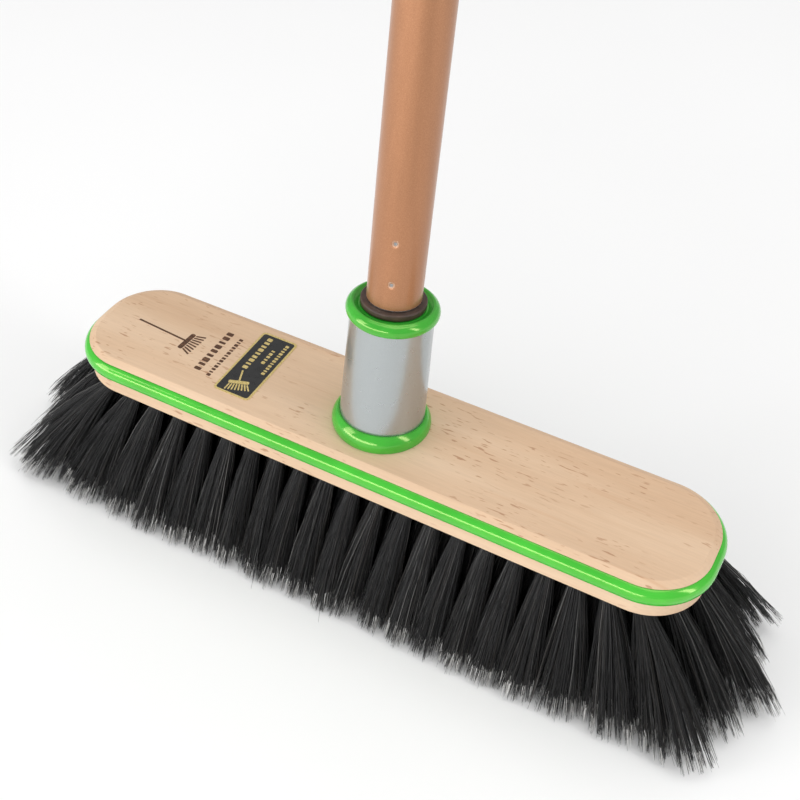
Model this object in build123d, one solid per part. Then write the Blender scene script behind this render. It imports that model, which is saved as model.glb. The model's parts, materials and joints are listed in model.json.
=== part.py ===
from build123d import *
import os
from math import atan, degrees, hypot

# Push broom with a screwed-in handle. Millimetres, +Z up, +X along the block. The origin is on the
# floor, under the middle of the block, where the tips of the hair stand.

# Block
block_length = 288.0
block_width = 57.0
block_thickness = 18.0
corner_radius = 24.0
bevel_width = 3.0
bevel_height = 1.5
block_edge_round = 0.6

# Bumper strip: a half-round bead in a groove round the block
groove_height = 9.4
groove_above_underside = 6.9
groove_depth = 2.2
bead_projection = 2.7
bead_round = 4.4
bead_gap = 0.1
strip_joint = 0.4

# Hair
hair_length = 60.0
tuft_pitch = 12.4
row_pitch = 10.4
tuft_hole_radius = 2.6
tuft_hole_depth = 9.0
tuft_root_radius = 2.5
tuft_tip_radius = 5.4
tuft_flare_x = 47.0
tuft_flare_y = 33.0
flare_power_x = 5.0
flare_power_y = 1.3
hole_margin = 6.5
anchor_width = 5.0
anchor_height = 2.2
anchor_thickness = 0.4

# Handle socket, measured along the leaning handle axis from the middle of the block's top
handle_lean = 6.0
foot_radius = 20.9
foot_top = 5.5
sleeve_foot_radius = 17.85
sleeve_top_radius = 16.8
sleeve_wall = 0.8
sleeve_bottom = 4.5
sleeve_top = 53.5
socket_bore_radius = 10.2
socket_bore_floor = 24.0
ring_bore_radius = 10.45
ring_skirt_radius = 12.9
ring_skirt_bottom = 48.0
ring_seat = 58.3
ring_crest = 59.6
ring_radius = 18.75
peg_radius = 8.0
peg_length = 5.0
fit_gap = 0.1

# Screws that hold the socket, driven up from the underside
screw_offset = tuft_pitch
screw_radius = 2.2
screw_length = 26.0
screw_head_radius = 4.2
screw_head_height = 2.6
washer_radius = 5.0
washer_thickness = 1.0
counterbore_radius = 5.2
counterbore_depth = 4.0

# Handle
tube_radius = 11.0
tube_wall = 0.3
tube_length = 1200.0
plug_flange_radius = 13.2
plug_flange_height = 2.8
plug_stem_length = 38.0
thread_root_radius = 9.0
thread_length = 32.0
running_gap = 0.3

# Hanging eye at the top of the handle
bush_depth = 24.0
bush_collar_height = 2.0
pin_radius = 3.0
pin_hole_radius = 3.08
pin_head_radius = 4.5
pin_head_height = 2.0
cap_height = 14.0
cap_floor = 6.0
eye_width = 18.0
eye_thickness = 8.0
eye_rise = 30.0
eye_hole_radius = 4.5

# Sticker on the block's top
label_x = -63.3
label_y = 1.8
label_width = 18.0
label_length = 42.0
label_thickness = 0.15
label_corner = 1.6

block_bottom = hair_length
block_top = block_bottom + block_thickness
flange_bottom = ring_seat + running_gap
tube_bottom = flange_bottom + plug_flange_height + fit_gap
tube_top = tube_bottom + tube_length
collar_top = tube_top + bush_collar_height
cap_bottom = collar_top + running_gap
lean_frame = Pos(0, 0, block_top) * Rot(-handle_lean, 0, 0)

os.makedirs("parts", exist_ok=True)


def slab(offset, bottom, height):
    """The block's outline, grown by offset, from bottom up."""
    shape = RectangleRounded(
        block_length + 2 * offset, block_width + 2 * offset, corner_radius + offset
    )
    return extrude(Pos(0, 0, bottom) * shape, height)


def rod(radius, bottom, height, x=0, y=0):
    return Pos(x, y, bottom) * Cylinder(radius, height, align=(Align.CENTER, Align.CENTER, Align.MIN))


def turned(*edges):
    """A body of revolution about Z from the edges of half its section, given as (radius, height)."""
    return revolve(make_face(Plane.XZ * Wire(edges)), Axis.Z)


def path(*points):
    """Straight edges through the points."""
    return [Line(start, end) for start, end in zip(points, points[1:])]


def save(shape, name):
    solids = shape.solids()
    body = solids[0] if len(solids) == 1 else Compound(children=list(solids))
    export_step(body, f"parts/{name}.step")


# --- Tuft places -----------------------------------------------------------------------------------


def fits_block(x, y):
    """Whether a tuft hole at x, y keeps its margin from the block's rounded outline."""
    over_x = max(abs(x) - (block_length / 2 - corner_radius), 0)
    over_y = max(abs(y) - (block_width / 2 - corner_radius), 0)
    return hypot(over_x, over_y) <= corner_radius - hole_margin


def tuft_places(row):
    """Holes of one row, alternate rows being moved by half a pitch."""
    y = row * row_pitch
    shift = 0.5 * tuft_pitch if row % 2 else 0
    columns = [shift + tuft_pitch * n for n in range(-13, 14)]
    places = [(x, y) for x in columns if fits_block(x, y)]
    return [(x, y) for x, y in places if (abs(x), y) != (screw_offset, 0)]


def tip_of(x, y):
    """Where a tuft reaches the floor: upright in the middle, spread towards the rim."""
    spread_x = tuft_flare_x * (abs(x) / (block_length / 2)) ** flare_power_x
    spread_y = tuft_flare_y * (abs(y) / (block_width / 2)) ** flare_power_y
    return x + (spread_x if x > 0 else -spread_x), y + (spread_y if y > 0 else -spread_y)


def tuft(x, y):
    """One tuft: a slotted root in its hole and a widening lock of hair down to the floor."""
    tip_x, tip_y = tip_of(x, y)
    root = rod(tuft_root_radius, block_bottom, tuft_hole_depth - fit_gap, x, y)
    slot = Pos(x, y, block_bottom + tuft_hole_depth - anchor_height) * Box(
        3 * tuft_root_radius,
        anchor_thickness + fit_gap,
        anchor_height + fit_gap,
        align=(Align.CENTER, Align.CENTER, Align.MIN),
    )
    upper = Pos(x, y, block_bottom) * Circle(tuft_root_radius)
    lower = Pos(tip_x, tip_y, 0) * Circle(tuft_tip_radius)
    return (root - slot) + loft([lower, upper], ruled=True)


def anchor(x, y):
    """The flat staple that holds a tuft's fold at the bottom of its hole."""
    top = block_bottom + tuft_hole_depth - fit_gap
    return Pos(x, y, top) * Box(
        anchor_width,
        anchor_thickness,
        anchor_height - 2 * fit_gap,
        align=(Align.CENTER, Align.CENTER, Align.MAX),
    )


row_names = {
    -2: "front",
    -1: "inner_front",
    0: "middle",
    1: "inner_back",
    2: "back",
}
rows = {name: tuft_places(row) for row, name in row_names.items()}
all_places = [place for places in rows.values() for place in places]


def bears_load(x, y):
    """The few tufts that carry the broom: the end and middle ones of the outer rows."""
    row = rows["front"] if y < 0 else rows["back"]
    ends = (row[0][0], 0, row[-1][0])
    outer = abs(y) == 2 * row_pitch and x in ends
    return outer or (y == 0 and abs(x) == rows["middle"][-1][0])


# --- Head ------------------------------------------------------------------------------------------


def make_block():
    body = slab(0, block_bottom, block_thickness - bevel_height)
    taper = degrees(atan(bevel_width / bevel_height))
    top = extrude(
        Pos(0, 0, block_top - bevel_height)
        * RectangleRounded(block_length, block_width, corner_radius),
        bevel_height,
        taper=taper,
    )
    body += top
    rim = body.edges().group_by(Axis.Z)
    body = fillet(rim[0] + rim[-1], block_edge_round)
    groove_bottom = block_bottom + groove_above_underside
    body -= slab(1, groove_bottom, groove_height) - slab(
        -groove_depth, groove_bottom, groove_height
    )
    body -= [
        rod(tuft_hole_radius, block_bottom, tuft_hole_depth, x, y)
        for x, y in all_places
    ]
    body -= rod(peg_radius + fit_gap, block_top - peg_length - fit_gap, peg_length + 1)
    for x in (-screw_offset, screw_offset):
        body -= rod(screw_radius + 3 * fit_gap, block_bottom, block_thickness, x)
        body -= rod(counterbore_radius, block_bottom, counterbore_depth, x)
    return body


def make_bumper_strip():
    bottom = block_bottom + groove_above_underside + bead_gap
    height = groove_height - 2 * bead_gap
    outside = slab(bead_projection, bottom, height)
    outside = fillet(outside.faces().group_by(Axis.Z)[0].edges(), bead_round)
    outside = fillet(outside.faces().group_by(Axis.Z)[-1].edges(), bead_round)
    strip = outside - slab(bead_gap - groove_depth, bottom, height)
    joint = Pos(0, block_width / 2, bottom + height / 2) * Box(
        strip_joint, 4 * groove_depth, height
    )
    return strip - joint


def make_socket_core():
    wall = sleeve_wall + 0.5 * fit_gap
    barrel_foot = (sleeve_foot_radius - wall, sleeve_bottom - fit_gap)
    barrel_top = (sleeve_top_radius - wall, sleeve_top)
    foot_lip = (sleeve_foot_radius + fit_gap, foot_top)
    below = -foot_radius
    body = turned(
        *path((0, socket_bore_floor), (0, below), (foot_radius - 1.2, below), (foot_radius - 1.2, -3)),
        ThreePointArc((foot_radius - 1.2, -3), (foot_radius, 1.4), (foot_lip[0] + 0.8, foot_top)),
        *path(
            (foot_lip[0] + 0.8, foot_top),
            foot_lip,
            (foot_lip[0], barrel_foot[1]),
            barrel_foot,
            barrel_top,
            (ring_skirt_radius + fit_gap, sleeve_top),
            (ring_skirt_radius + fit_gap, ring_skirt_bottom - fit_gap),
            (socket_bore_radius, ring_skirt_bottom - fit_gap),
            (socket_bore_radius, socket_bore_floor),
            (0, socket_bore_floor),
        ),
    )
    body = lean_frame * body
    body -= Pos(0, 0, block_top) * Box(
        6 * foot_radius, 6 * foot_radius, 3 * foot_radius, align=(Align.CENTER, Align.CENTER, Align.MAX)
    )
    body += rod(peg_radius, block_top - peg_length, peg_length + 1)
    screw_tip = block_bottom + counterbore_depth + screw_length
    for x in (-screw_offset, screw_offset):
        body -= rod(screw_radius + 0.5 * fit_gap, block_top - 1, screw_tip + 1.5 - block_top, x)
    return body


def make_socket_sleeve():
    return lean_frame * turned(
        *path(
            (sleeve_foot_radius - sleeve_wall, sleeve_bottom),
            (sleeve_foot_radius, sleeve_bottom),
            (sleeve_top_radius, sleeve_top),
            (sleeve_top_radius - sleeve_wall, sleeve_top),
            (sleeve_foot_radius - sleeve_wall, sleeve_bottom),
        )
    )


def make_socket_ring():
    rim_bottom = sleeve_top + fit_gap
    shoulder = (sleeve_top_radius + 0.5, rim_bottom)
    crest_out = (ring_radius - 1.7, ring_crest - 0.4)
    crest_in = (ring_radius - 3.4, ring_crest - 0.4)
    return lean_frame * turned(
        *path(
            (ring_bore_radius, ring_seat),
            (ring_bore_radius, ring_skirt_bottom),
            (ring_skirt_radius, ring_skirt_bottom),
            (ring_skirt_radius, rim_bottom),
            shoulder,
        ),
        ThreePointArc(shoulder, (ring_radius, 0.5 * (rim_bottom + ring_crest)), crest_out),
        ThreePointArc(crest_out, (ring_radius - 2.5, ring_crest), crest_in),
        *path(crest_in, (plug_flange_radius + 0.6, ring_seat), (ring_bore_radius, ring_seat)),
    )


def make_screw(x):
    seat = block_bottom + counterbore_depth - washer_thickness
    head = rod(screw_head_radius, seat - screw_head_height, screw_head_height, x)
    head = fillet(head.edges().group_by(Axis.Z)[0], 0.8)
    for angle in (0, 90):
        head -= Pos(x, 0, seat - screw_head_height) * Rot(0, 0, angle) * Box(4.2, 0.9, 2.4)
    point = Pos(x, 0, seat + washer_thickness + screw_length) * Cone(
        screw_radius, 0.4, 2.5, align=(Align.CENTER, Align.CENTER, Align.MAX)
    )
    return head + rod(screw_radius, seat, screw_length + washer_thickness - 2.5, x) + point


def make_washer(x):
    seat = block_bottom + counterbore_depth - washer_thickness
    return rod(washer_radius, seat, washer_thickness, x) - rod(
        screw_radius + fit_gap, seat, washer_thickness, x
    )


def make_label():
    shape = Pos(label_x, label_y, block_top) * RectangleRounded(label_width, label_length, label_corner)
    return extrude(shape, label_thickness)


# --- Handle ----------------------------------------------------------------------------------------


def make_plug():
    stem_radius = tube_radius - tube_wall - 0.5 * fit_gap
    flange_top = flange_bottom + plug_flange_height
    body = rod(thread_root_radius, flange_bottom - thread_length, thread_length)
    body = chamfer(body.edges().group_by(Axis.Z)[0], 1.5)
    flange = rod(plug_flange_radius, flange_bottom, plug_flange_height)
    flange = fillet(flange.edges(), 0.7)
    body += flange
    body += rod(stem_radius, flange_top, plug_stem_length)
    body -= rod(
        thread_root_radius - 2.5,
        flange_bottom - thread_length + 6,
        thread_length + plug_flange_height + plug_stem_length - 6,
    )
    return lean_frame * body


def make_tube():
    outside = rod(tube_radius, tube_bottom, tube_length)
    return lean_frame * (outside - rod(tube_radius - tube_wall, tube_bottom, tube_length))


def make_bush():
    inner = tube_radius - tube_wall - 0.5 * fit_gap
    body = rod(inner, tube_top - bush_depth, bush_depth)
    collar = rod(tube_radius, tube_top + 0.5 * fit_gap, bush_collar_height - 0.5 * fit_gap)
    body += fillet(collar.edges().group_by(Axis.Z)[-1], 0.8)
    body += rod(inner, tube_top, 0.5 * fit_gap)
    body -= rod(pin_hole_radius, tube_top - bush_depth, bush_depth + bush_collar_height)
    return lean_frame * body


# --- Hanging eye -----------------------------------------------------------------------------------


def make_pin():
    lower_head = tube_top - bush_depth - running_gap - pin_head_height
    upper_head = cap_bottom + cap_floor + running_gap
    body = rod(pin_radius, lower_head, upper_head - lower_head)
    body += rod(pin_head_radius, lower_head, pin_head_height)
    body += rod(pin_head_radius, upper_head, pin_head_height)
    return lean_frame * body


def make_eye():
    cap = rod(tube_radius, cap_bottom, cap_height)
    cap = fillet(cap.edges().group_by(Axis.Z)[-1], 2.5)
    eye_centre = cap_bottom + cap_height + eye_rise - 0.5 * eye_width
    tab_height = eye_centre - cap_bottom - 0.5 * cap_height
    tab = Pos(0, 0, eye_centre) * Box(
        eye_thickness, eye_width, tab_height, align=(Align.CENTER, Align.CENTER, Align.MAX)
    )
    across = Pos(0, 0, eye_centre) * Rot(0, 90, 0)
    body = cap + tab + across * Cylinder(0.5 * eye_width, eye_thickness)
    body -= across * Cylinder(eye_hole_radius, 2 * eye_thickness)
    body -= rod(pin_hole_radius, cap_bottom, cap_floor)
    pocket_height = pin_head_height + 2 * running_gap
    body -= rod(pin_head_radius + running_gap, cap_bottom + cap_floor, pocket_height)
    return lean_frame * body


save(make_block(), "broom_block")
save(make_bumper_strip(), "bumper_strip")
save(make_socket_core(), "socket_core")
save(make_socket_sleeve(), "socket_sleeve")
save(make_socket_ring(), "socket_top_ring")
save(Compound(children=[make_screw(x) for x in (-screw_offset, screw_offset)]), "socket_screws")
save(Compound(children=[make_washer(x) for x in (-screw_offset, screw_offset)]), "screw_washers")
save(make_label(), "sticker")
for name, places in rows.items():
    loose = [tuft(x, y) for x, y in places if not bears_load(x, y)]
    save(Compound(children=loose), f"tufts_{name}")
    save(Compound(children=[anchor(x, y) for x, y in places]), f"anchors_{name}")
bearing = [tuft(x, y) for x, y in all_places if bears_load(x, y)]
save(Compound(children=bearing), "tufts_load_bearing")
save(make_tube(), "handle_tube")
save(make_plug(), "threaded_plug")
save(make_bush(), "hanger_bush")
save(make_pin(), "swivel_pin")
save(make_eye(), "hanging_eye")
print("tufts", {name: len(places) for name, places in rows.items()}, "bearing", len(bearing))
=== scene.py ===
"""Looks of the push broom: beech block, green bumper bead, hair tufts, sleeved socket, painted tube."""
import json
import math
import bpy
import numpy as np
from mathutils import Matrix, Vector


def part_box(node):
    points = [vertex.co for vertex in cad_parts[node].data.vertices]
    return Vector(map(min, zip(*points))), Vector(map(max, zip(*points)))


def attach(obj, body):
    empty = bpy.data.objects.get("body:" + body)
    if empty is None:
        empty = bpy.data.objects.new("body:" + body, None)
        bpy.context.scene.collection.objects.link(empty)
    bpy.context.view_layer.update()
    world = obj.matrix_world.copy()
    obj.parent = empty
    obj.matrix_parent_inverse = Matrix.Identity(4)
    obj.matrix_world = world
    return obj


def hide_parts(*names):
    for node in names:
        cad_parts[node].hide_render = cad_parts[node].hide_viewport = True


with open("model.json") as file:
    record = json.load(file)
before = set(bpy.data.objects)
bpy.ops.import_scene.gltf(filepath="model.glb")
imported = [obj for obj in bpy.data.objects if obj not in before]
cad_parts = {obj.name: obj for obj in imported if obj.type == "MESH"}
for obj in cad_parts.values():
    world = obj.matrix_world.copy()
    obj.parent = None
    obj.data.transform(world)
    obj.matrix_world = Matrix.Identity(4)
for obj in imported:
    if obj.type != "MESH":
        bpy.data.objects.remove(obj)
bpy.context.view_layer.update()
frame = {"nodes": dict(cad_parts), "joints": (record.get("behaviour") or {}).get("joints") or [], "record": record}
mm = 0.001

# --- Driving sizes, in metres unless said otherwise -------------------------------------------------

# Hair: how many, how thick, and where their points lie along them
HAIRS_PER_TUFT = 700
HAIR_RADIUS = 0.11 * mm
HAIR_RADIUS_RANGE = (0.75, 1.35)
HAIR_STEPS = (0, 0.30, 0.60, 0.87, 1)
HAIR_TAPER = (1, 1, 1, 0.95, 0.40)
HAIR_POINTS = len(HAIR_STEPS)
HAIR_SIDES = 3
HAIR_START = 1.5 * mm
LOWEST_TIP = 0.3 * mm

# How far along X, Y and Z, of the way from root to tip, the two points are that a hair bends towards
LEAVE_SHARE = (0.42, 0.42, 0.34)
ARRIVE_SHARE = (0.74, 0.74, 0.68)

# Tufts: the least gap between the anchors of neighbours, the spread of the tips about their roots, as
# in the CAD tufts, and the comb of the front
ANCHOR_GAP = 6 * mm
FLARE_X = 47 * mm
FLARE_Y = 33 * mm
FLARE_POWER_X = 5
FLARE_POWER_Y = 1.3
FLARE_TRIM_Y = 3.4 * mm
COMBED_FLARE = 0.27
COMBED_SWEEP = 4 * mm
ROOT_SPREAD = 2.4 * mm
TIP_REACH_X = 7.2 * mm
TIP_REACH_Y = 9.6 * mm
LONGEST_REACH = 27 * mm
LIFT_PER_REACH = 0.12

# Clumps and unevenness within a tuft
CLUMPS_PER_TUFT = 110
CLUMP_AREA_RANGE = (0.01, 1.15)
CLUMP_PULL_RANGE = (0.3, 1.7)
CLUMP_LIFT = 3.0 * mm
HAIR_LIFT_SHAPE = 1.2
HAIR_LIFT_SCALE = 0.7 * mm
# Pale tips are painted glints of light on the hair tips: the share of clumps that have them, and of hairs within
# such a clump
GLINT_CLUMPS = 0.46
GLINT_IN_CLUMP = 0.50
TIP_SCATTER = 0.42 * mm
STRAY_SHARE = 0.05
STRAY_SCATTER = 5.0
TUFT_JITTER = 0.9 * mm
LEAVE_JITTER = 0.35 * mm
ARRIVE_JITTER = 0.8 * mm
FRIZZ = 0.30 * mm
LEFT_SEED = 40
RIGHT_SEED = 50

# Handle
TUBE_WALL = 0.3 * mm
TUBE_SIDES = 192
BARE_RINGS = 3
DENT_HEIGHTS = (12 * mm, 30 * mm)
DENT_DEPTH = 0.35 * mm
DENT_RADIUS = 1.3 * mm
DENT_BEARING = math.radians(-74)
SCUFF_RANGE = (0.25, 0.80)
THREAD_SEAT = 3 * mm
THREAD_PITCH = 5 * mm
THREAD_ROOT = 9.0 * mm
THREAD_BURIED = 0.2 * mm
THREAD_CREST = 10.05 * mm
THREAD_HALF_ROOT = 1.5 * mm
THREAD_HALF_CREST = 0.6 * mm
THREAD_TURNS = 5.2
THREAD_STEPS_PER_TURN = 48
THREAD_FADE_STEPS = 12

# Sticker and burnt mark
PRINT_LIFT = 0.04 * mm
STICKER_THICKNESS = 0.15 * mm
STICKER_CORNER = 1.9 * mm
STICKER_BORDER = 1.0 * mm
STICKER_INNER_CORNER = 1.2 * mm
BURNT_DEPTH = 0.1 * mm

# Floor, backdrop and camera: the lens is in millimetres, and the angles are azimuth, elevation and
# roll in degrees, with azimuth 0 looking along +Y
FLOOR_REACH = 4
BACKDROP_STRENGTH = 0.44
CAMERA_PLACE = (0.1628, -0.3277, 0.4388)
CAMERA_ANGLES = (29.395, 43.533, 0.494)
CAMERA_LENS = 55.08
CAMERA_SHIFT = (0.0796, -0.0062)

block_low, block_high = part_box("broom_block")
block_bottom, block_top = block_low[2], block_high[2]
half_length, half_width = block_high[0], block_high[1]


# --- Materials -------------------------------------------------------------------------------------


def add(tree, kind, inputs=None, **settings):
    """A node with its settings, its input values, and links from the sockets given as inputs."""
    made = tree.nodes.new(kind)
    for key, value in settings.items():
        setattr(made, key, value)
    for key, value in (inputs or {}).items():
        if isinstance(value, bpy.types.NodeSocket):
            tree.links.new(value, made.inputs[key])
        else:
            made.inputs[key].default_value = value
    return made


def start(name, colour, roughness, **sockets):
    """A material, its tree and its shader, whose sockets hold the values that are the same all over."""
    made = bpy.data.materials.new(name)
    made.use_nodes = True
    shader = made.node_tree.nodes["Principled BSDF"]
    shader.inputs["Base Color"].default_value = (*colour, 1)
    shader.inputs["Roughness"].default_value = roughness
    for key, value in sockets.items():
        shader.inputs[key.replace("_", " ")].default_value = value
    made.diffuse_color = (*colour, 1)
    return made, made.node_tree, shader


def noise(tree, scale, detail, offset=(0, 0, 0)):
    """Noise in object space; scale is the number of blobs to a metre along X, Y and Z."""
    place = add(tree, "ShaderNodeTexCoord")
    mapping = add(
        tree,
        "ShaderNodeMapping",
        {"Vector": place.outputs["Object"], "Scale": scale, "Location": offset},
    )
    made = add(
        tree,
        "ShaderNodeTexNoise",
        {"Vector": mapping.outputs["Vector"], "Scale": 1.0, "Detail": detail, "Roughness": 0.5},
    )
    return made.outputs["Fac"]


def ramp(tree, value, stops):
    """A colour ramp through (position, colour) stops."""
    made = add(tree, "ShaderNodeValToRGB", {"Fac": value})
    elements = made.color_ramp.elements
    while len(elements) < len(stops):
        elements.new(0.5)
    for element, (position, colour) in zip(elements, stops):
        element.position = position
        element.color = (*colour, 1)
    return made.outputs["Color"]


def grey(value):
    return (value, value, value)


def mix(tree, share, first, second, blend="MIX"):
    made = add(tree, "ShaderNodeMix", data_type="RGBA", blend_type=blend)
    for socket, value in zip((made.inputs[0], made.inputs[6], made.inputs[7]), (share, first, second)):
        if isinstance(value, bpy.types.NodeSocket):
            tree.links.new(value, socket)
        else:
            socket.default_value = value
    return made.outputs[2]


def bump(tree, shader, height, strength, distance):
    made = add(
        tree, "ShaderNodeBump", {"Height": height, "Strength": strength, "Distance": distance}
    )
    tree.links.new(made.outputs["Normal"], shader.inputs["Normal"])


def beech():
    made, tree, shader = start("beech", (0.79, 0.575, 0.39), 0.55, Specular_IOR_Level=0.35)
    tone = ramp(
        tree,
        noise(tree, (5, 55, 80), 3),
        [(0.3, (0.65, 0.438, 0.280)), (0.5, (0.705, 0.500, 0.334)), (0.72, (0.765, 0.570, 0.402))],
    )
    fine = ramp(
        tree, noise(tree, (60, 1000, 1000), 3), [(0.3, grey(0.94)), (0.62, grey(1.0))]
    )
    body = mix(tree, 1.0, tone, fine, "MULTIPLY")
    fleck = ramp(tree, noise(tree, (170, 900, 900), 1), [(0.63, grey(0)), (0.70, grey(1))])
    groups = ramp(
        tree, noise(tree, (28, 60, 60), 1, offset=(3, 7, 1)), [(0.42, grey(0)), (0.60, grey(0.75))]
    )
    share = mix(tree, 1.0, fleck, groups, "MULTIPLY")
    flecked = mix(tree, share, body, (0.40, 0.20, 0.105, 1))
    streak = ramp(
        tree,
        noise(tree, (7, 210, 60), 2, offset=(9, 2, 5)),
        [(0.66, grey(0)), (0.74, grey(0.35))],
    )
    tree.links.new(mix(tree, streak, flecked, (0.55, 0.31, 0.17, 1)), shader.inputs["Base Color"])
    sheen = ramp(tree, noise(tree, (90, 700, 700), 2), [(0.3, grey(0.46)), (0.7, grey(0.64))])
    tree.links.new(sheen, shader.inputs["Roughness"])
    bump(tree, shader, noise(tree, (120, 1600, 1600), 3), 0.18, 0.0002)
    return made


def green_plastic(name, colour, light):
    """Moulded gloss plastic, a little uneven in colour and polish."""
    made, tree, shader = start(
        name,
        colour,
        0.16,
        Coat_Weight=0.2,
        Coat_Roughness=0.10,
        Specular_IOR_Level=0.85,
        Specular_Tint=(1.0, 1.0, 0.42, 1),
        Subsurface_Weight=0.06,
        Subsurface_Radius=(0.0006, 0.002, 0.0005),
    )
    tone = ramp(tree, noise(tree, (60, 60, 60), 2), [(0.35, colour), (0.68, light)])
    tree.links.new(tone, shader.inputs["Base Color"])
    polish = ramp(tree, noise(tree, (420, 420, 420), 3), [(0.3, grey(0.12)), (0.75, grey(0.20))])
    tree.links.new(polish, shader.inputs["Roughness"])
    bump(tree, shader, noise(tree, (260, 260, 260), 2), 0.02, 0.0002)
    return made


def silver_lacquer():
    made, tree, shader = start("silver_lacquer", (0.42, 0.445, 0.45), 0.3, Metallic=0.8, Coat_Weight=0.3)
    flake = ramp(
        tree,
        noise(tree, (5200, 5200, 5200), 2),
        [(0.35, (0.405, 0.43, 0.435)), (0.65, (0.445, 0.475, 0.48))],
    )
    tree.links.new(flake, shader.inputs["Base Color"])
    satin = ramp(tree, noise(tree, (300, 300, 300), 2), [(0.3, grey(0.27)), (0.7, grey(0.32))])
    tree.links.new(satin, shader.inputs["Roughness"])
    bump(tree, shader, noise(tree, (3800, 3800, 3800), 1), 0.015, 0.0001)
    return made


def copper_paint():
    made, tree, shader = start(
        "copper_paint", (0.42, 0.19, 0.09), 0.32, Metallic=0.5, Coat_Weight=0.3, Coat_Roughness=0.15
    )
    flake = ramp(
        tree,
        noise(tree, (3000, 3000, 2200), 3),
        [(0.3, (0.392, 0.171, 0.078)), (0.55, (0.432, 0.197, 0.092)), (0.75, (0.48, 0.225, 0.109))],
    )
    # Lighter and darker streaks along the tube: partly lacquer streaks, partly painted reflection lines.
    lacquer_and_reflection_streaks = ramp(tree, noise(tree, (240, 240, 2), 1), [(0.35, grey(0.94)), (0.65, grey(1.0))])
    tree.links.new(mix(tree, 1.0, flake, lacquer_and_reflection_streaks, "MULTIPLY"), shader.inputs["Base Color"])
    satin = ramp(tree, noise(tree, (700, 700, 40), 2), [(0.3, grey(0.28)), (0.72, grey(0.38))])
    tree.links.new(satin, shader.inputs["Roughness"])
    bump(tree, shader, noise(tree, (1600, 1600, 900), 2), 0.05, 0.0001)
    return made


def scuffed_paint():
    """Paint pressed thin and pale round a staking dent."""
    made, tree, shader = start("scuffed_paint", (0.60, 0.45, 0.35), 0.5, Metallic=0.3)
    tone = ramp(
        tree,
        noise(tree, (2400, 2400, 2400), 3),
        [(0.35, (0.42, 0.21, 0.11)), (0.65, (0.56, 0.38, 0.28))],
    )
    tree.links.new(tone, shader.inputs["Base Color"])
    return made


def bare_steel():
    made, tree, shader = start("bare_steel", (0.66, 0.65, 0.62), 0.26, Metallic=1.0)
    tone = ramp(
        tree,
        noise(tree, (900, 900, 900), 3),
        [(0.3, (0.52, 0.51, 0.49)), (0.7, (0.74, 0.73, 0.71))],
    )
    tree.links.new(tone, shader.inputs["Base Color"])
    bump(tree, shader, noise(tree, (2200, 2200, 2200), 2), 0.1, 0.0001)
    return made


def brown_plastic():
    made, tree, shader = start("brown_plastic", (0.060, 0.034, 0.024), 0.5)
    tone = ramp(
        tree,
        noise(tree, (350, 350, 350), 3),
        [(0.3, (0.042, 0.024, 0.018)), (0.7, (0.082, 0.048, 0.034))],
    )
    tree.links.new(tone, shader.inputs["Base Color"])
    bump(tree, shader, noise(tree, (1800, 1800, 1800), 2), 0.15, 0.0002)
    return made


def hair_tone(name, colour, roughness):
    return start(name, colour, roughness, Specular_IOR_Level=0.42)[0]


def sticker_black():
    made, tree, shader = start("sticker_black", (0.012, 0.012, 0.012), 0.3, Coat_Weight=0.3)
    satin = ramp(tree, noise(tree, (400, 400, 400), 2), [(0.3, grey(0.24)), (0.7, grey(0.4))])
    tree.links.new(satin, shader.inputs["Roughness"])
    bump(tree, shader, noise(tree, (150, 150, 150), 2), 0.08, 0.0003)
    return made


def gold_foil():
    made, tree, shader = start("gold_foil", (0.72, 0.55, 0.20), 0.35, Metallic=0.6)
    tone = ramp(
        tree,
        noise(tree, (1500, 1500, 1500), 2),
        [(0.3, (0.60, 0.44, 0.15)), (0.7, (0.84, 0.68, 0.30))],
    )
    tree.links.new(tone, shader.inputs["Base Color"])
    return made


def burnt_wood():
    made, tree, shader = start("burnt_wood", (0.085, 0.035, 0.016), 0.8)
    tone = ramp(
        tree,
        noise(tree, (500, 1600, 1600), 3),
        [(0.3, (0.045, 0.018, 0.010)), (0.62, (0.12, 0.052, 0.024)), (0.8, (0.30, 0.16, 0.08))],
    )
    tree.links.new(tone, shader.inputs["Base Color"])
    bump(tree, shader, noise(tree, (1200, 2400, 2400), 2), 0.3, 0.0002)
    return made


def floor_white():
    made, tree, shader = start("floor_white", (0.93, 0.93, 0.93), 0.9)
    tone = ramp(tree, noise(tree, (3, 3, 3), 2), [(0.3, grey(0.92)), (0.7, grey(0.94))])
    tree.links.new(tone, shader.inputs["Base Color"])
    return made


green_bead = green_plastic("green_bead", (0.035, 0.42, 0.030), (0.050, 0.50, 0.040))
green_moulding = green_plastic("green_moulding", (0.030, 0.36, 0.030), (0.045, 0.44, 0.040))
steel = bare_steel()
brown = brown_plastic()
hair_tones = [
    hair_tone("hair_black", (0.0085, 0.0085, 0.0090), 0.38),
    hair_tone("hair_soot", (0.016, 0.016, 0.0165), 0.44),
    hair_tone("hair_brown", (0.032, 0.028, 0.025), 0.42),
    hair_tone("hair_grey", (0.17, 0.165, 0.16), 0.40),
    # the last tone is a painted highlight: pale grey on the tips standing for glints of light
    hair_tone("hair_glint_tip", (0.66, 0.65, 0.63), 0.45),
]
HAIR_SHARES = (0.50, 0.35, 0.12, 0.03)

node_materials = {
    "broom_block": beech(),
    "bumper_strip": green_bead,
    "socket_core": green_moulding,
    "socket_top_ring": green_moulding,
    "socket_sleeve": silver_lacquer(),
    "socket_screws": steel,
    "screw_washers": steel,
    "threaded_plug": brown,
    "hanger_bush": brown,
    "swivel_pin": steel,
    "hanging_eye": green_moulding,
}
ROWS = ("front", "inner_front", "middle", "inner_back", "back")
node_materials.update({f"anchors_{row}": steel for row in ROWS})
for node, dressed in node_materials.items():
    for place in frame["nodes"][node].material_slots:
        place.material = dressed


# --- Mesh helpers ----------------------------------------------------------------------------------


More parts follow.
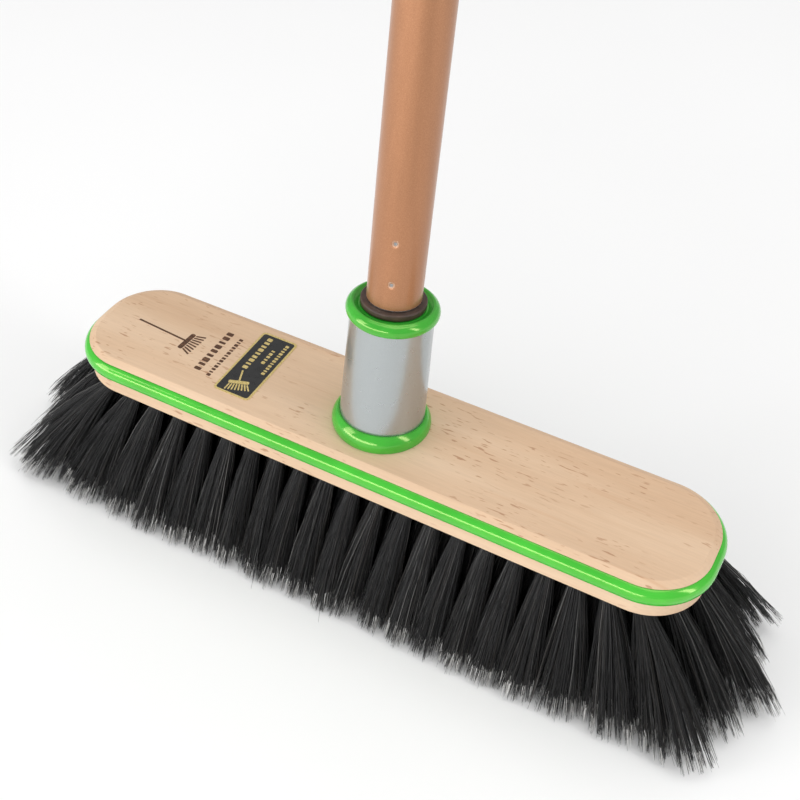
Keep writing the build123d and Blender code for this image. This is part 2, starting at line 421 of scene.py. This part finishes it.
def piece(name, points, faces, body, materials, smooth=True):
    """A mesh piece that rides on a body and takes the materials given."""
    mesh = bpy.data.meshes.new(name)
    mesh.from_pydata(points, [], faces)
    for used in materials:
        mesh.materials.append(used)
    made = bpy.data.objects.new(name, mesh)
    bpy.context.scene.collection.objects.link(made)
    if smooth:
        mesh.shade_smooth()
    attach(made, body)
    return made


def rounded(width, length, radius, steps=6):
    """Outline of a rounded rectangle, anticlockwise."""
    corners = [(1, 1, 0), (-1, 1, 90), (-1, -1, 180), (1, -1, 270)]
    points = []
    for side_x, side_y, first in corners:
        for step in range(steps + 1):
            angle = math.radians(first + 90 * step / steps)
            points.append((
                side_x * (width / 2 - radius) + radius * math.cos(angle),
                side_y * (length / 2 - radius) + radius * math.sin(angle),
            ))
    return points


def plate(outline, low, high):
    """Points and faces of a flat plate with the outline."""
    count = len(outline)
    points = [(x, y, z) for z in (low, high) for x, y in outline]
    faces = [tuple(range(count, 2 * count)), tuple(reversed(range(count)))]
    faces += [(i, (i + 1) % count, count + (i + 1) % count, count + i) for i in range(count)]
    return points, faces


def placed(outline, x, y, turn=0.0):
    c, s = math.cos(turn), math.sin(turn)
    return [(x + c * u - s * v, y + s * u + c * v) for u, v in outline]


def plates(name, outlines, low, high, body, used):
    """One piece from several flat plates of the same height."""
    points, faces = [], []
    for outline in outlines:
        more, rings = plate(outline, low, high)
        faces += [tuple(len(points) + i for i in ring) for ring in rings]
        points += more
    piece(name, points, faces, body, [used], smooth=False)


# --- Hair ------------------------------------------------------------------------------------------


def tuft_roots(row):
    """Where a row's tufts leave the block: the middles of its anchors, which stand apart along X."""
    mesh = frame["nodes"][f"anchors_{row}"].data
    spots = np.array([vertex.co[:2] for vertex in mesh.vertices])
    spots = spots[np.argsort(spots[:, 0])]
    breaks = np.where(np.diff(spots[:, 0]) > ANCHOR_GAP)[0] + 1
    return [group.mean(axis=0) for group in np.split(spots, breaks)]


def corner_splay(y):
    """How much more the ends of the outer rows splay than the middle row's."""
    return 1 + (y / half_width) ** 2


def spread_of(root):
    """How far a tuft's tips stand outside its root: little in the middle, much at the rim and corners.

    The front of the brush is combed towards its left end.
    """
    x, y = root
    corner = corner_splay(y)
    outward = FLARE_Y * (abs(y) / half_width) ** FLARE_POWER_Y - FLARE_TRIM_Y * (y / half_width) ** 2
    if y < 0:
        outward *= 1 - COMBED_FLARE * (x / half_length) ** 3
    sweep = COMBED_SWEEP * (1 - y / half_width) / 2
    return np.array([
        math.copysign(FLARE_X * corner * (abs(x) / half_length) ** FLARE_POWER_X, x) - sweep,
        math.copysign(outward, y),
    ])


def reach_of(root):
    """Half the room that a tuft's tips fill along X and Y: the tips of neighbours just meet."""
    x, y = root
    corner = corner_splay(y)
    slope = FLARE_POWER_X * (abs(x) / half_length) ** (FLARE_POWER_X - 1)
    widening = 1 + slope * FLARE_X * corner / half_length
    return np.array([TIP_REACH_X * widening, TIP_REACH_Y])


def tuft_paths(root, rng):
    """Points along each hair of a tuft, and which hairs have pale tips, a painted glint on the tips.

    Hairs close in on small clumps, whose tips part from each other.
    """
    count = HAIRS_PER_TUFT
    angle = rng.uniform(0, 2 * math.pi, count)
    reach = ROOT_SPREAD * np.sqrt(rng.uniform(0, 1, count))
    roots = np.c_[root[0] + reach * np.cos(angle), root[1] + reach * np.sin(angle)]
    lean = spread_of(root) + rng.normal(0, TUFT_JITTER, 2)
    clump_angle = rng.uniform(0, 2 * math.pi, CLUMPS_PER_TUFT)
    clump_reach = np.sqrt(rng.uniform(*CLUMP_AREA_RANGE, CLUMPS_PER_TUFT))
    clumps = np.c_[clump_reach * np.cos(clump_angle), clump_reach * np.sin(clump_angle)]
    # each hair joins a clump that its place in the hole is near to
    pull = (((roots - root)[:, None] / ROOT_SPREAD - clumps[None]) ** 2).sum(axis=2)
    clump = (pull * rng.uniform(*CLUMP_PULL_RANGE, pull.shape)).argmin(axis=1)
    stray = rng.uniform(0, 1, count) > 1 - STRAY_SHARE
    scatter = rng.normal(0, TIP_SCATTER, (count, 2)) * np.where(stray, STRAY_SCATTER, 1.0)[:, None]
    tips = np.array(root) + lean + clumps[clump] * reach_of(root) + scatter
    clump_lift = rng.uniform(0, CLUMP_LIFT, CLUMPS_PER_TUFT)
    lift = clump_lift[clump] + rng.gamma(HAIR_LIFT_SHAPE, HAIR_LIFT_SCALE, count)
    # hairs further out are no longer than the rest, so their tips end higher
    arc = np.linalg.norm(tips - roots, axis=1)
    lift = lift + LIFT_PER_REACH * np.maximum(arc - LONGEST_REACH, 0)
    top = block_bottom + HAIR_START
    start_points = np.c_[roots, np.full(count, top)]
    end_points = np.c_[tips, np.maximum(lift, LOWEST_TIP)]
    way = end_points - start_points
    leave = start_points + way * LEAVE_SHARE
    arrive = start_points + way * ARRIVE_SHARE
    arrive[:, :2] += rng.normal(0, ARRIVE_JITTER, (count, 2))
    leave[:, :2] += rng.normal(0, LEAVE_JITTER, (count, 2))
    t = np.array(HAIR_STEPS)[None, :, None]
    bend = (
        (1 - t) ** 3 * start_points[:, None]
        + 3 * (1 - t) ** 2 * t * leave[:, None]
        + 3 * (1 - t) * t**2 * arrive[:, None]
        + t**3 * end_points[:, None]
    )
    bend[:, 1:-1] += rng.normal(0, FRIZZ, (count, HAIR_POINTS - 2, 3))
    # pale tips are painted glints, given to whole clumps so that they show as specks
    glint_clump = rng.uniform(0, 1, CLUMPS_PER_TUFT) < GLINT_CLUMPS
    pale = glint_clump[clump] & (rng.uniform(0, 1, count) < GLINT_IN_CLUMP)
    return bend, pale


def hair_piece(name, roots, seed):
    """The hairs of some tufts as thin flat-sided strands that taper to their tips."""
    rng = np.random.default_rng(seed)
    tufts = [tuft_paths(root, rng) for root in roots]
    lines, pale = (np.concatenate(part) for part in zip(*tufts))
    count = len(lines)
    radius = HAIR_RADIUS * np.array(HAIR_TAPER)[None] * rng.uniform(*HAIR_RADIUS_RANGE, (count, 1))
    along = np.gradient(lines, axis=1)
    along /= np.linalg.norm(along, axis=2, keepdims=True)
    side = np.cross(along, rng.normal(0, 1, (count, 1, 3)) + np.array([0.0, 0.0, 0.01]))
    side /= np.linalg.norm(side, axis=2, keepdims=True)
    other = np.cross(along, side)
    turns = 2 * math.pi * np.arange(HAIR_SIDES) / HAIR_SIDES
    offsets = np.cos(turns)[:, None] * side[:, :, None] + np.sin(turns)[:, None] * other[:, :, None]
    points = (lines[:, :, None] + radius[:, :, None, None] * offsets).reshape(-1, 3)
    first = np.arange(count)[:, None, None] * HAIR_POINTS * HAIR_SIDES
    lower = first + np.arange(HAIR_POINTS - 1)[None, :, None] * HAIR_SIDES
    upper = lower + HAIR_SIDES
    edge = np.arange(HAIR_SIDES)[None, None, :]
    after = (edge + 1) % HAIR_SIDES
    quads = np.stack([lower + edge, lower + after, upper + after, upper + edge], axis=-1).reshape(-1, 4)
    mesh = bpy.data.meshes.new(name)
    mesh.vertices.add(len(points))
    mesh.vertices.foreach_set("co", points.ravel())
    mesh.loops.add(quads.size)
    mesh.loops.foreach_set("vertex_index", quads.ravel())
    mesh.polygons.add(len(quads))
    mesh.polygons.foreach_set("loop_start", np.arange(0, quads.size, 4))
    tone = rng.choice(len(HAIR_SHARES), count, p=HAIR_SHARES)
    tone = np.repeat(tone[:, None], HAIR_POINTS - 1, axis=1)
    # the last segment of a hair with a painted glint takes the pale tip tone
    tone[pale, -1] = len(hair_tones) - 1
    for used in hair_tones:
        mesh.materials.append(used)
    mesh.polygons.foreach_set("material_index", np.repeat(tone.ravel(), HAIR_SIDES))
    mesh.update(calc_edges=True)
    mesh.shade_smooth()
    made = bpy.data.objects.new(name, mesh)
    bpy.context.scene.collection.objects.link(made)
    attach(made, "head")
    return made


for number, row in enumerate(ROWS):
    places = tuft_roots(row)
    half = len(places) // 2
    left = hair_piece(f"hair_{row}_left", places[:half], LEFT_SEED + number)
    hair_piece(f"hair_{row}_right", places[half:], RIGHT_SEED + number)
    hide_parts(f"tufts_{row}")
    if row == "middle":
        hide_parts("tufts_load_bearing")


# --- Handle ----------------------------------------------------------------------------------------

screw = next(joint for joint in frame["joints"] if joint["name"] == "handle_screw")
handle_axis = Vector(screw["axis"]).normalized()
leaning = Vector((0, 0, 1)).rotation_difference(handle_axis).to_matrix().to_4x4()
handle_frame = Matrix.Translation(Vector(screw["pos_m"])) @ leaning


def height_of(point):
    """Height of a point along the handle axis, from the top of the tube."""
    return (Vector(point) - Vector(screw["pos_m"])).dot(handle_axis)


grip = next(mount for mount in frame["record"]["mounts"] if mount["name"] == "handle_grip")
tube_radius = grip["dims"]["r_mm"] * mm
tube_length = grip["dims"]["length_mm"] * mm
tube_middle = height_of(grip["pos_m"])
tube_bottom = tube_middle - tube_length / 2


def dent_depth(angle, height):
    """How far the wall is pressed in by the staking dents that hold the plug."""
    depth = 0.0
    for dent_height in DENT_HEIGHTS:
        for quarter in range(4):
            turn = angle - DENT_BEARING - quarter * math.pi / 2
            across = tube_radius * math.remainder(turn, 2 * math.pi)
            away = math.hypot(across, height - dent_height)
            depth += DENT_DEPTH * math.exp(-((away / DENT_RADIUS) ** 4))
    return depth


def make_tube():
    """The handle tube with its rolled lower edge, staking dents and wall thickness.

    The rolled edge and the inside are bare steel, and the paint is scuffed on the slopes of the dents.
    """
    paint, bare, scuffed = range(3)
    lower = [0.0, 0.12 * mm, 0.35 * mm, 0.8 * mm] + [step * 0.45 * mm for step in range(3, 81)]
    heights = lower + [60 * mm, 120 * mm, 300 * mm, 600 * mm, 900 * mm, tube_length]
    edge_round = {0: 0.22 * mm, 1: 0.08 * mm}
    points, faces, finish = [], [], []
    for level, height in enumerate(heights):
        for step in range(TUBE_SIDES):
            angle = 2 * math.pi * step / TUBE_SIDES
            radius = tube_radius - dent_depth(angle, height) - edge_round.get(level, 0)
            points.append((radius * math.cos(angle), radius * math.sin(angle), tube_bottom + height))
    for height in (tube_length, 0.0):
        for step in range(TUBE_SIDES):
            angle = 2 * math.pi * step / TUBE_SIDES
            radius = tube_radius - TUBE_WALL
            points.append((radius * math.cos(angle), radius * math.sin(angle), tube_bottom + height))
    levels = len(heights)
    for level in range(levels + 2):
        for step in range(TUBE_SIDES):
            after = (step + 1) % TUBE_SIDES
            a, b = level * TUBE_SIDES, (level + 1) % (levels + 2) * TUBE_SIDES
            faces.append((a + step, a + after, b + after, b + step))
            height = heights[min(level, levels - 1)]
            pressed = dent_depth(2 * math.pi * (step + 0.5) / TUBE_SIDES, height) / DENT_DEPTH
            if level < BARE_RINGS or level > levels - 1:
                finish.append(bare)
            else:
                finish.append(scuffed if SCUFF_RANGE[0] < pressed < SCUFF_RANGE[1] else paint)
    made = piece(
        "painted_tube",
        [handle_frame @ Vector(point) for point in points],
        faces,
        "handle",
        [copper_paint(), steel, scuffed_paint()],
    )
    made.data.polygons.foreach_set("material_index", finish)
    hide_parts("handle_tube")


def plug_foot():
    """Height, along the handle axis, of a place near the lower end of the plug."""
    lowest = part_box("threaded_plug")[0][2] + THREAD_SEAT
    return (lowest - screw["pos_m"][2]) / handle_axis.z


def make_thread():
    """The plug's screw thread, a helical ridge on its lower end."""
    seat = plug_foot()
    per_turn = THREAD_STEPS_PER_TURN
    buried = THREAD_ROOT - THREAD_BURIED
    profile = [
        (buried, -THREAD_HALF_ROOT),
        (THREAD_CREST, -THREAD_HALF_CREST),
        (THREAD_CREST, THREAD_HALF_CREST),
        (buried, THREAD_HALF_ROOT),
    ]
    steps = int(THREAD_TURNS * per_turn)
    points, faces = [], []
    for step in range(steps + 1):
        angle = 2 * math.pi * step / per_turn
        height = seat + THREAD_PITCH * step / per_turn
        fade = min(1.0, step / THREAD_FADE_STEPS, (steps - step) / THREAD_FADE_STEPS)
        for radius, rise in profile:
            size = buried + (radius - buried) * fade
            spot = Vector((size * math.cos(angle), size * math.sin(angle), height + rise))
            points.append(handle_frame @ spot)
    for step in range(steps):
        for side in range(4):
            a, b = step * 4, (step + 1) * 4
            faces.append((a + side, b + side, b + (side + 1) % 4, a + (side + 1) % 4))
    piece("plug_thread", points, faces, "handle", [brown])


make_tube()
make_thread()


# --- Sticker and burnt mark ------------------------------------------------------------------------


def printed_line(x, y, width, length, blocks):
    """A line of small plain blocks along Y, unequal in length, that stands for print."""
    step = length / blocks
    line = []
    for block in range(blocks):
        share = 0.62 + 0.2 * math.sin(2.3 * block + width / mm)
        bar = rounded(width, step * share, min(width, step * share) * 0.22, 2)
        line.append(placed(bar, x, y - length / 2 + (block + 0.5) * step))
    return line


def brush_sign(x, y, size, turn, handle):
    """A small plain brush seen from the side: a handle, a block and a fan of bristles."""
    c, s = math.cos(turn), math.sin(turn)

    def spot(u, v):
        return x + size * (c * u - s * v), y + size * (s * u + c * v)

    shapes = [placed(rounded(size * 0.80, size * 0.17, size * 0.06, 3), *spot(0, 0), turn)]
    stick = rounded(size * 0.07, size * handle, size * 0.03, 2)
    shapes.append(placed(stick, *spot(0, 0.06 + handle / 2), turn))
    for strand in range(8):
        fan = turn + math.radians(-21 + 6 * strand)
        stroke = rounded(size * 0.06, size * 0.34, size * 0.025, 2)
        shapes.append(placed(stroke, *spot((strand - 3.5) * 0.115, -0.27), fan))
    return shapes


def make_sticker():
    """A gold-edged black sticker with plain printed lines and a small picture of a brush."""
    low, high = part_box("sticker")
    width, length = high[0] - low[0], high[1] - low[1]
    x, y = (low[0] + high[0]) / 2, (low[1] + high[1]) / 2
    top = block_top + STICKER_THICKNESS
    black, gold = sticker_black(), gold_foil()
    points, faces = plate(placed(rounded(width, length, STICKER_CORNER), x, y), block_top, top)
    sheet = piece("sticker_sheet", points, faces, "head", [gold], smooth=False)
    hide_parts("sticker")
    field_top = top + PRINT_LIFT
    inner = rounded(width - 2 * STICKER_BORDER, length - 2 * STICKER_BORDER, STICKER_INNER_CORNER)
    points, faces = plate(placed(inner, x, y), top, field_top)
    piece("sticker_field", points, faces, "head", [black], smooth=False)
    print_shapes = printed_line(x - 3.6 * mm, y + 7 * mm, 2.5 * mm, 23 * mm, 9)
    print_shapes += printed_line(x + 1.7 * mm, y + 7.2 * mm, 1.7 * mm, 10.5 * mm, 5)
    print_shapes += printed_line(x + 5.5 * mm, y + 7 * mm, 1.7 * mm, 22 * mm, 12)
    print_shapes += brush_sign(x - 0.6 * mm, y - 13.0 * mm, 11.5 * mm, 0.35, 0.62)
    plates("sticker_print", print_shapes, field_top, field_top + PRINT_LIFT, "head", gold)


def make_burnt_mark():
    """A generic mark burnt into the block: a broom lying along the block and two plain lines."""
    low, high = block_top - BURNT_DEPTH, block_top + PRINT_LIFT
    shapes = brush_sign(-99 * mm, 0, 14 * mm, 1.5, 1.9)
    shapes += printed_line(-84.6 * mm, 0.6 * mm, 3.3 * mm, 29 * mm, 9)
    shapes += printed_line(-78.2 * mm, -0.4 * mm, 1.9 * mm, 28 * mm, 14)
    plates("burnt_mark", shapes, low, high, "head", burnt_wood())


make_sticker()
make_burnt_mark()


# --- Stage, light and camera -----------------------------------------------------------------------


def make_floor():
    mesh = bpy.data.meshes.new("floor")
    reach = FLOOR_REACH
    corners = [(-reach, -reach, 0), (reach, -reach, 0), (reach, reach, 0), (-reach, reach, 0)]
    mesh.from_pydata(corners, [], [(0, 1, 2, 3)])
    mesh.materials.append(floor_white())
    made = bpy.data.objects.new("floor", mesh)
    bpy.context.scene.collection.objects.link(made)


def softbox(name, place, target, size, power):
    lamp = bpy.data.lights.new(name, "AREA")
    lamp.shape = "RECTANGLE"
    lamp.size, lamp.size_y = size
    lamp.energy = power
    made = bpy.data.objects.new(name, lamp)
    made.location = place
    made.rotation_euler = (Vector(target) - Vector(place)).to_track_quat("-Z", "Y").to_euler()
    bpy.context.scene.collection.objects.link(made)


def make_world():
    world = bpy.data.worlds.new("studio")
    world.use_nodes = True
    backdrop = world.node_tree.nodes["Background"]
    backdrop.inputs["Color"].default_value = (1, 1, 1, 1)
    backdrop.inputs["Strength"].default_value = BACKDROP_STRENGTH
    bpy.context.scene.world = world


def make_camera():
    """The camera, turned by its azimuth, elevation and roll."""
    azimuth, elevation, roll = (math.radians(angle) for angle in CAMERA_ANGLES)
    back = Vector((
        math.sin(azimuth) * math.cos(elevation),
        -math.cos(azimuth) * math.cos(elevation),
        math.sin(elevation),
    ))
    level = Vector((0, 0, 1)).cross(back).normalized()
    upright = back.cross(level)
    across = math.cos(roll) * level + math.sin(roll) * upright
    up = math.cos(roll) * upright - math.sin(roll) * level
    turn = Matrix((across, up, back)).transposed().to_4x4()
    data = bpy.data.cameras.new("camera")
    data.lens = CAMERA_LENS
    data.shift_x, data.shift_y = CAMERA_SHIFT
    made = bpy.data.objects.new("camera", data)
    made.matrix_world = Matrix.Translation(CAMERA_PLACE) @ turn
    bpy.context.scene.collection.objects.link(made)
    bpy.context.scene.camera = made


make_floor()
make_world()
softbox("overhead", (0.1, 0.3, 2.3), (0, 0, 0.08), (2.4, 2.0), 27)
softbox("front_left", (-1.8, -1.5, 1.2), (0, 0, 0.10), (0.9, 1.4), 16)
softbox("right_strip", (1.6, -0.1, 0.9), (0, 0, 0.15), (0.3, 1.4), 8)
softbox("front_strip", (-1.1, -2.9, 0.46), (0, 0, 0.07), (5.2, 0.7), 70)
make_camera()
bpy.context.scene.view_settings.view_transform = "Standard"
